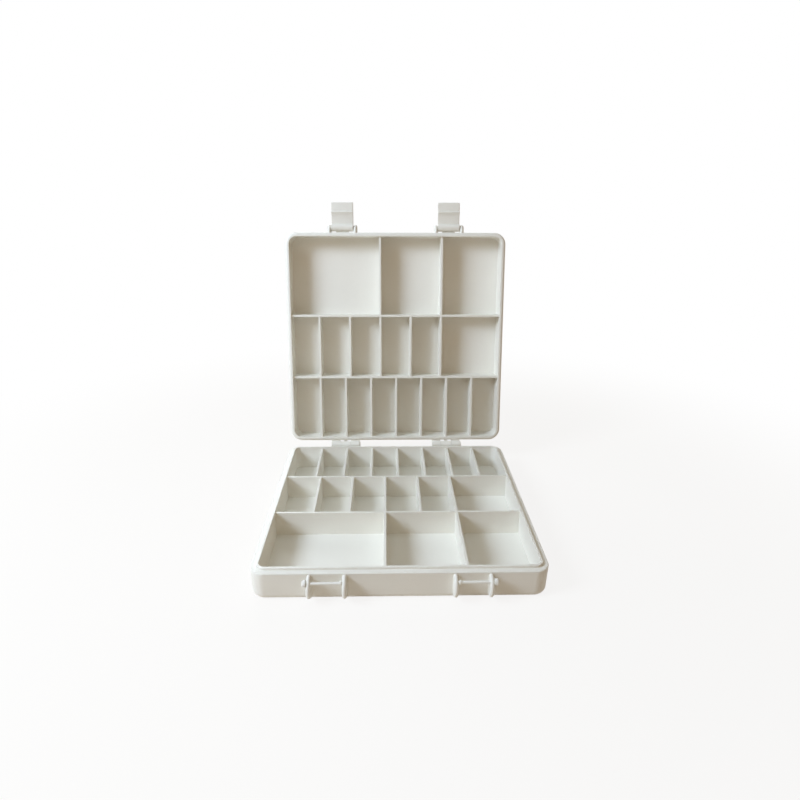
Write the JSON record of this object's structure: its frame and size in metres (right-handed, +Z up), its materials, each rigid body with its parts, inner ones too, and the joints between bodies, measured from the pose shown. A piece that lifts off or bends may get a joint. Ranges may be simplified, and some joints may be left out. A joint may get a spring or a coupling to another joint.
{
  "type": "compartment storage box",
  "caption": "Hinged flat storage box with fixed dividers in both halves, a tongue-and-ledge rim, two snap latches and keeper pins, shown open.",
  "frame": {"origin": "centre of the base's flat underside, at the floor", "axes": "+X along the hinge, to the right seen from the front; +Y from the latch side towards the hinge; +Z upwards"},
  "size_m": [0.21, 0.2726, 0.2527],
  "materials": {
    "base_shell": "satin, lightly textured",
    "lid_shell": "satin, lightly textured",
    "latch": "satin",
    "pin": "smooth satin"
  },
  "bodies": {
    "base": {"base_tray": "base_shell", "keeper_pin_left": "pin", "keeper_pin_right": "pin"},
    "lid": {"lid_tray": "lid_shell", "hinge_pin_left": "pin", "hinge_pin_right": "pin", "latch_pin_left": "pin", "latch_pin_right": "pin"},
    "left_latch": {"latch_left": "latch"},
    "right_latch": {"latch_right": "latch"}
  },
  "joints": [
    {"name": "lid_hinge", "type": "hinge", "parent": "base", "child": "lid", "pos_m": [0, 0.1054, 0.02265], "axis": [1, 0, 0], "range_deg": [0, 100]},
    {"name": "left_latch_pivot", "type": "hinge", "parent": "lid", "child": "left_latch", "pos_m": [-0.0506, 0.1473, 0.23003], "axis": [1, 0, 0], "range_deg": [0, 90]},
    {"name": "right_latch_pivot", "type": "hinge", "parent": "lid", "child": "right_latch", "pos_m": [0.0506, 0.1473, 0.23003], "axis": [1, 0, 0], "range_deg": [0, 90]}
  ]
}
